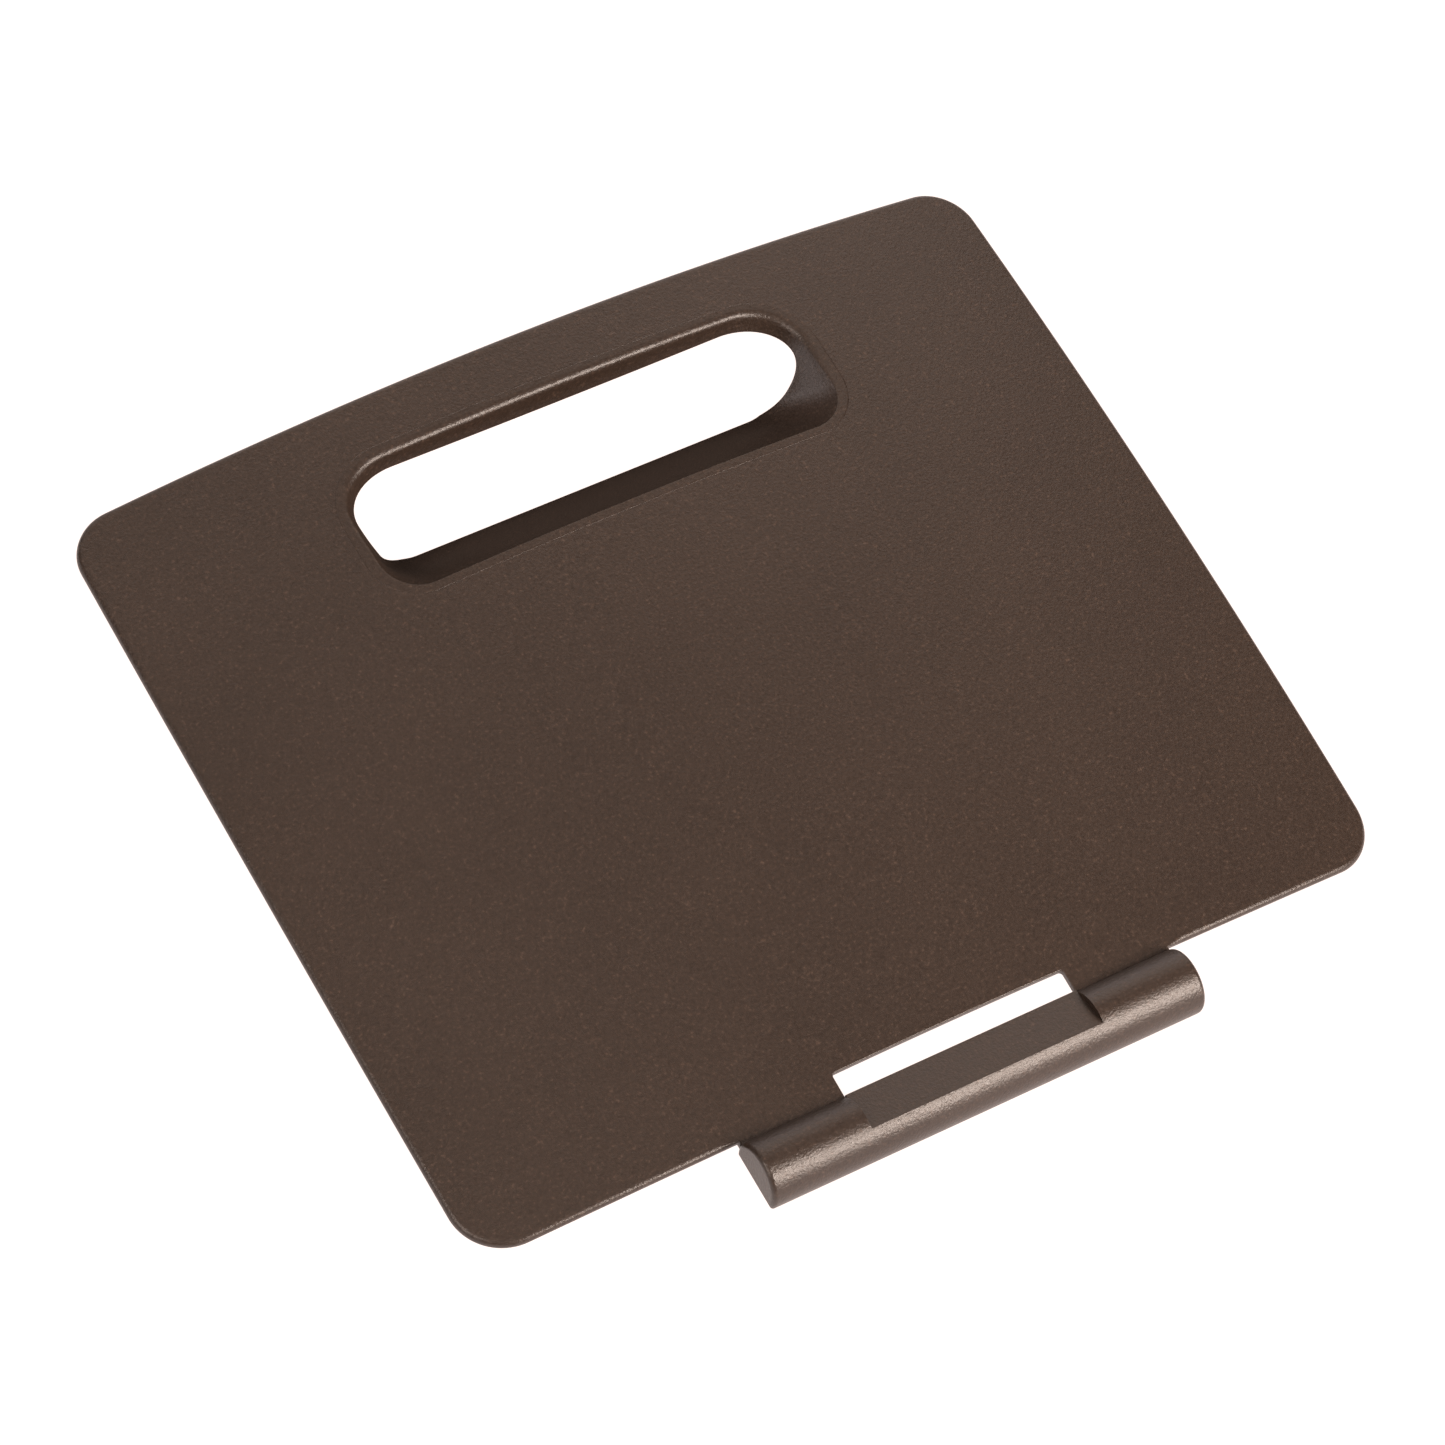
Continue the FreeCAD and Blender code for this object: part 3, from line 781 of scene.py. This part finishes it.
def web_and_tongue(sign):
    """One end's web up to the panel, with the tongue that the screws go through."""
    x = mirrored((HALF_SLOT, BAR_LENGTH / 2 - BAR_END_ROUND), sign)
    web = block(x, (BAR_Y, HINGE_Y - HAIR), (FLAT_Z, CROWN_Z))
    tongue_end = HINGE_Y + TONGUE_LENGTH
    tongue = block(mirrored(TONGUE_X, sign), (BAR_Y, tongue_end), (FLAT_Z, CROWN_Z))
    combine(web, tongue, "UNION")
    combine(web, under_skin_top(BAR_Y - CLEAR, tongue_end + CLEAR), "DIFFERENCE")
    return web


def above_facet(back, ridge, slope):
    """What is cut off above the facet."""
    far_y = HINGE_Y + PAST
    top = CROWN_Z + ABOVE
    return prism([ridge, (far_y, back[1] - slope * (far_y - back[0])), (far_y, top),
                  (ridge[0], top)], -HALF_SLOT, HALF_SLOT)


def hollow_under_roof(ridge, slope, drop):
    """The hollow of the bar's middle, open below and behind, under an even roof."""
    inner = BAR_RADIUS - BAR_WALL
    inner_foot = math.degrees(math.asin((BAR_Z - FLAT_Z) / inner))

    def roof_under(y):
        return ridge[1] - drop - slope * (y - ridge[0])

    a = 1 + slope ** 2
    b = -2 * slope * (roof_under(BAR_Y) - BAR_Z)
    c = (roof_under(BAR_Y) - BAR_Z) ** 2 - inner ** 2
    meet_y = BAR_Y + (-b - math.sqrt(b ** 2 - 4 * a * c)) / (2 * a)
    meet = math.degrees(math.atan2(roof_under(meet_y) - BAR_Z, meet_y - BAR_Y))
    outline = arc_points((BAR_Y, BAR_Z), inner, meet, 180 + inner_foot, BAR_HOLLOW_STEPS)
    far_y = HINGE_Y + PAST
    below = FLAT_Z - PAST
    outline += [(outline[-1][0], below), (far_y, below), (far_y, roof_under(far_y))]
    return prism(outline, -HALF_SLOT, HALF_SLOT)


def cut_channel(bar, radius, x):
    """A round channel for the rod or a bush, open below."""
    combine(bar, round_bar(radius, x, ROD_Y, ROD_Z), "DIFFERENCE")
    way_in = block(x, (ROD_Y - radius, ROD_Y + radius), (FLAT_Z - CLEAR, ROD_Z))
    combine(bar, way_in, "DIFFERENCE")


def build_bar():
    """The D-section bar with its roofed middle, rod channel, cap seats and tongues."""
    bar = round_ended_bar()
    back, ridge, slope = facet_line()
    drop = ROOF_WALL * math.sqrt(1 + slope ** 2)
    combine(bar, roof_lip(back, slope, drop), "UNION")
    for sign in (-1, 1):
        combine(bar, web_and_tongue(sign), "UNION")
    combine(bar, above_facet(back, ridge, slope), "DIFFERENCE")
    combine(bar, hollow_under_roof(ridge, slope, drop), "DIFFERENCE")
    for sign in (-1, 1):
        cut_channel(bar, BUSH_RADIUS,
                    mirrored((HALF_SLOT - CLEAR, HALF_SLOT + BUSH_LENGTH), sign))
        cut_channel(bar, CHANNEL_RADIUS, mirrored((HALF_SLOT + CLEAR, CHANNEL_END), sign))
        pocket = block(mirrored(CAP_X, sign), (HINGE_Y - CAP_FRONT, HINGE_Y - CAP_BACK),
                       (FLAT_Z - CLEAR, FLAT_Z + CAP_THICKNESS))
        combine(bar, pocket, "DIFFERENCE")
    soften(bar, BAR_EDGE_ROUND, segments=3)
    return bar


def build_lugs():
    """The scoop's snap lugs, which catch under the panel."""
    wall_x = GRIP_HALF + SCOOP_WALL
    wall_y = HINGE_Y + GRIP_BACK + SCOOP_WALL
    middle_y = HINGE_Y + (GRIP_FRONT + GRIP_BACK) / 2
    end_z = surface_z(wall_x, middle_y, PANEL_THICKNESS)
    back_z = surface_z(LUG_SPACING / 2, wall_y, PANEL_THICKNESS)
    half = LUG_LENGTH / 2
    lugs = []
    for sign in (-1, 1):
        x = mirrored((wall_x - LUG_BITE, wall_x + LUG_REACH), sign)
        lugs.append(block(x, (middle_y - half, middle_y + half), (end_z - LUG_HEIGHT, end_z)))
        middle_x = sign * LUG_SPACING / 2
        lugs.append(block((middle_x - half, middle_x + half),
                          (wall_y - LUG_BITE / 2, wall_y + LUG_REACH),
                          (back_z - LUG_HEIGHT, back_z)))
    lug_set = lugs[0]
    for lug in lugs[1:]:
        combine(lug_set, lug, "UNION")
    lug_set.name = "snap_lugs"
    soften(lug_set, LUG_EDGE_ROUND, segments=2)
    return lug_set


# ------------------------------------------------------------------- materials

def node_material(name):
    """A material with its node tree and its main shader."""
    material = bpy.data.materials.new(name)
    material.use_nodes = True
    tree = material.node_tree
    shader = tree.nodes["Principled BSDF"]
    return material, tree, shader


def noise(tree, vector, scale, detail, roughness):
    """The value of a noise texture."""
    texture = tree.nodes.new("ShaderNodeTexNoise")
    texture.inputs["Scale"].default_value = scale
    texture.inputs["Detail"].default_value = detail
    texture.inputs["Roughness"].default_value = roughness
    tree.links.new(vector, texture.inputs["Vector"])
    return texture.outputs["Fac"]


def ramp(tree, value, first, last, *between):
    """Colours by value; each stop is a position and a colour."""
    node = tree.nodes.new("ShaderNodeValToRGB")
    for element, (position, colour) in zip(node.color_ramp.elements, (first, last)):
        element.position = position
        element.color = (*colour, 1)
    for position, colour in between:
        node.color_ramp.elements.new(position).color = (*colour, 1)
    tree.links.new(value, node.inputs["Fac"])
    return node.outputs["Color"]


def object_place(tree):
    """Coordinates that are fixed to the piece, in metres."""
    return tree.nodes.new("ShaderNodeTexCoord").outputs["Object"]


def vary_roughness(tree, shader, value, low, high):
    """Roughness that follows a texture."""
    spread = tree.nodes.new("ShaderNodeMapRange")
    spread.inputs["To Min"].default_value = low
    spread.inputs["To Max"].default_value = high
    tree.links.new(value, spread.inputs["Value"])
    tree.links.new(spread.outputs["Result"], shader.inputs["Roughness"])


def add_bump(tree, shader, value, strength, distance):
    """A bump that follows a texture."""
    bump = tree.nodes.new("ShaderNodeBump")
    bump.inputs["Strength"].default_value = strength
    bump.inputs["Distance"].default_value = distance
    tree.links.new(value, bump.inputs["Height"])
    tree.links.new(bump.outputs["Normal"], shader.inputs["Normal"])


def moulded_plastic():
    """Dark taupe plastic with a fine spark-eroded grain, a mottled tone and sparse bright flecks
    painted into the colour as glints.
    """
    material, tree, shader = node_material("grained_plastic")
    place = object_place(tree)
    grain = noise(tree, place, scale=1850.0, detail=3.0, roughness=0.6)
    cloud = noise(tree, place, scale=28.0, detail=4.0, roughness=0.55)
    fleck_and_glint = noise(tree, place, scale=1500.0, detail=2.0, roughness=0.5)
    tint = ramp(tree, cloud, *TAUPE)
    # The ramp's lower stops are the grain's own mottle; its top stop paints sparse glints into
    # the base colour, a painted highlight
    speck_and_painted_glint = ramp(tree, fleck_and_glint, *GRAIN_TONE_AND_PAINTED_GLINTS)
    colour = tree.nodes.new("ShaderNodeMix")
    colour.data_type = "RGBA"
    colour.blend_type = "MULTIPLY"
    colour.inputs["Factor"].default_value = 1.0
    tree.links.new(tint, colour.inputs[MIX_A])
    tree.links.new(speck_and_painted_glint, colour.inputs[MIX_B])
    tree.links.new(colour.outputs[MIX_RESULT], shader.inputs["Base Color"])
    vary_roughness(tree, shader, fleck_and_glint, *PLASTIC_ROUGHNESS)
    add_bump(tree, shader, grain, strength=0.95, distance=0.00012)
    shader.inputs["IOR"].default_value = PLASTIC_IOR
    return material


def grained_metal(name, colour, roughness, stretch):
    """Metal with a fine grain, stretched into lines along X where asked."""
    material, tree, shader = node_material(name)
    mapping = tree.nodes.new("ShaderNodeMapping")
    mapping.inputs["Scale"].default_value = stretch
    tree.links.new(object_place(tree), mapping.inputs["Vector"])
    lines = noise(tree, mapping.outputs["Vector"], scale=900.0, detail=3.0, roughness=0.6)
    dark = [c * METAL_SHADE for c in colour]
    tree.links.new(ramp(tree, lines, (0.0, dark), (1.0, colour)), shader.inputs["Base Color"])
    vary_roughness(tree, shader, lines, *roughness)
    add_bump(tree, shader, lines, strength=0.2, distance=0.00002)
    shader.inputs["Metallic"].default_value = 1.0
    return material


def natural_nylon():
    """Off-white, faintly mottled nylon."""
    material, tree, shader = node_material("natural_nylon")
    mottle = noise(tree, object_place(tree), scale=420.0, detail=3.0, roughness=0.5)
    tree.links.new(ramp(tree, mottle, *NYLON), shader.inputs["Base Color"])
    shader.inputs["Roughness"].default_value = NYLON_ROUGHNESS
    add_bump(tree, shader, mottle, strength=0.15, distance=0.00003)
    return material


def paint(piece, material):
    """Gives a new piece its one material."""
    piece.data.materials.clear()
    piece.data.materials.append(material)


def repaint_node(node, material):
    """Puts a better material on a CAD node, and changes nothing else."""
    for slot in node.material_slots:
        slot.material = material


# -------------------------------------------------------------- floor and light

def make_floor():
    """A pale floor just under the foot; from below it can be seen through."""
    corners = ((-1, -1), (1, -1), (1, 1), (-1, 1))
    floor = mesh_object("floor", [(x * FLOOR_HALF, y * FLOOR_HALF, FLOOR_Z)
                                  for x, y in corners], [(0, 1, 2, 3)])
    material, tree, shader = node_material("pale_floor")
    shader.inputs["Base Color"].default_value = (*FLOOR_COLOUR, 1)
    shader.inputs["Roughness"].default_value = FLOOR_ROUGHNESS
    shader.inputs["Specular IOR Level"].default_value = 0.0
    shader.inputs["Emission Color"].default_value = (*FLOOR_GLOW, 1)
    shader.inputs["Emission Strength"].default_value = FLOOR_GLOW_STRENGTH
    facing = tree.nodes.new("ShaderNodeNewGeometry")
    clear = tree.nodes.new("ShaderNodeBsdfTransparent")
    mix = tree.nodes.new("ShaderNodeMixShader")
    tree.links.new(facing.outputs["Backfacing"], mix.inputs[0])
    tree.links.new(shader.outputs[0], mix.inputs[1])
    tree.links.new(clear.outputs[0], mix.inputs[2])
    tree.links.new(mix.outputs[0], tree.nodes["Material Output"].inputs["Surface"])
    paint(floor, material)
    floor.visible_shadow = False
    return floor


def area_light(name, place, aim, size, power, colour):
    """A rectangular light, turned towards its aim."""
    data = bpy.data.lights.new(name, "AREA")
    data.shape = "RECTANGLE"
    data.size = size[0]
    data.size_y = size[1]
    data.energy = power
    data.color = colour
    light = bpy.data.objects.new(name, data)
    light.location = place
    direction = Vector(aim) - Vector(place)
    light.rotation_euler = direction.to_track_quat("-Z", "Y").to_euler()
    bpy.context.scene.collection.objects.link(light)
    return light


def make_lights(skin, liner):
    """Soft lights for all, low cards for the skin alone and two from below for the liner."""
    receivers = {"all": None, "skin": skin, "liner": liner}
    for name, place, aim, size, power, colour, lit in LIGHTS:
        light = area_light(name, place, aim, size, power, colour)
        light.light_linking.receiver_collection = receivers[lit]
    world = bpy.data.worlds.new("studio")
    world.use_nodes = True
    background = world.node_tree.nodes["Background"]
    background.inputs["Color"].default_value = (1, 1, 1, 1)
    background.inputs["Strength"].default_value = WORLD_STRENGTH
    bpy.context.scene.world = world


def make_camera():
    """The camera, rolled about its line of sight."""
    data = bpy.data.cameras.new("camera")
    data.sensor_width = SENSOR_WIDTH
    data.lens = CAMERA_LENS
    data.clip_start = CLIP_START
    camera = bpy.data.objects.new("camera", data)
    ahead = (CAMERA_AIM - CAMERA_PLACE).normalized()
    level = ahead.cross(Vector((0, 0, 1))).normalized()
    above = level.cross(ahead)
    roll = math.radians(CAMERA_ROLL)
    right = level * math.cos(roll) + above * math.sin(roll)
    up = above * math.cos(roll) - level * math.sin(roll)
    turn = Matrix((right, up, -ahead)).transposed()
    camera.matrix_world = Matrix.Translation(CAMERA_PLACE) @ turn.to_4x4()
    bpy.context.scene.collection.objects.link(camera)
    bpy.context.scene.camera = camera


# ------------------------------------------------------------------------ scene

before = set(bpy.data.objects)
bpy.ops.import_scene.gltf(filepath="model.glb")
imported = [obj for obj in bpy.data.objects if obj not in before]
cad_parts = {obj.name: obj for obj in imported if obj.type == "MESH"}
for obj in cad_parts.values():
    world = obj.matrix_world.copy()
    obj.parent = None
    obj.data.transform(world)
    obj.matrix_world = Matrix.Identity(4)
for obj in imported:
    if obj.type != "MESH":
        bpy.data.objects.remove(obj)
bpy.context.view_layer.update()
bpy.context.scene.view_settings.view_transform = "Standard"
make_camera()

plastic = moulded_plastic()
skin = bpy.data.collections.new("lit_by_floor_and_low_cards")
liner = bpy.data.collections.new("lit_from_below")
for build, node in ((build_panel, "panel"), (build_scoop, "grip_scoop"),
                    (build_lugs, None), (build_bar, "hinge_bar")):
    piece = build()
    paint(piece, plastic)
    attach(piece, "flap")
    if node:
        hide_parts(node)
    group = liner if node == "grip_scoop" else skin
    group.objects.link(piece)

zinc = grained_metal("zinc_plate", ZINC, ZINC_ROUGHNESS, EVEN_GRAIN)
bright = grained_metal("ground_rod", STEEL, STEEL_ROUGHNESS, LINES_ALONG_X)
nylon = natural_nylon()
finishes = {
    "rod_cap_left": plastic, "rod_cap_right": plastic,
    "rod_bush_left": nylon, "rod_bush_right": nylon,
    "cap_screws": zinc, "bar_screws": zinc, "hinge_rod": bright,
}
for node, material in finishes.items():
    repaint_node(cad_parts[node], material)
    skin.objects.link(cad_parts[node])

# The glowing floor lights the skin alone: the liner has its own light from below.
floor = make_floor()
floor.light_linking.receiver_collection = skin
make_lights(skin, liner)
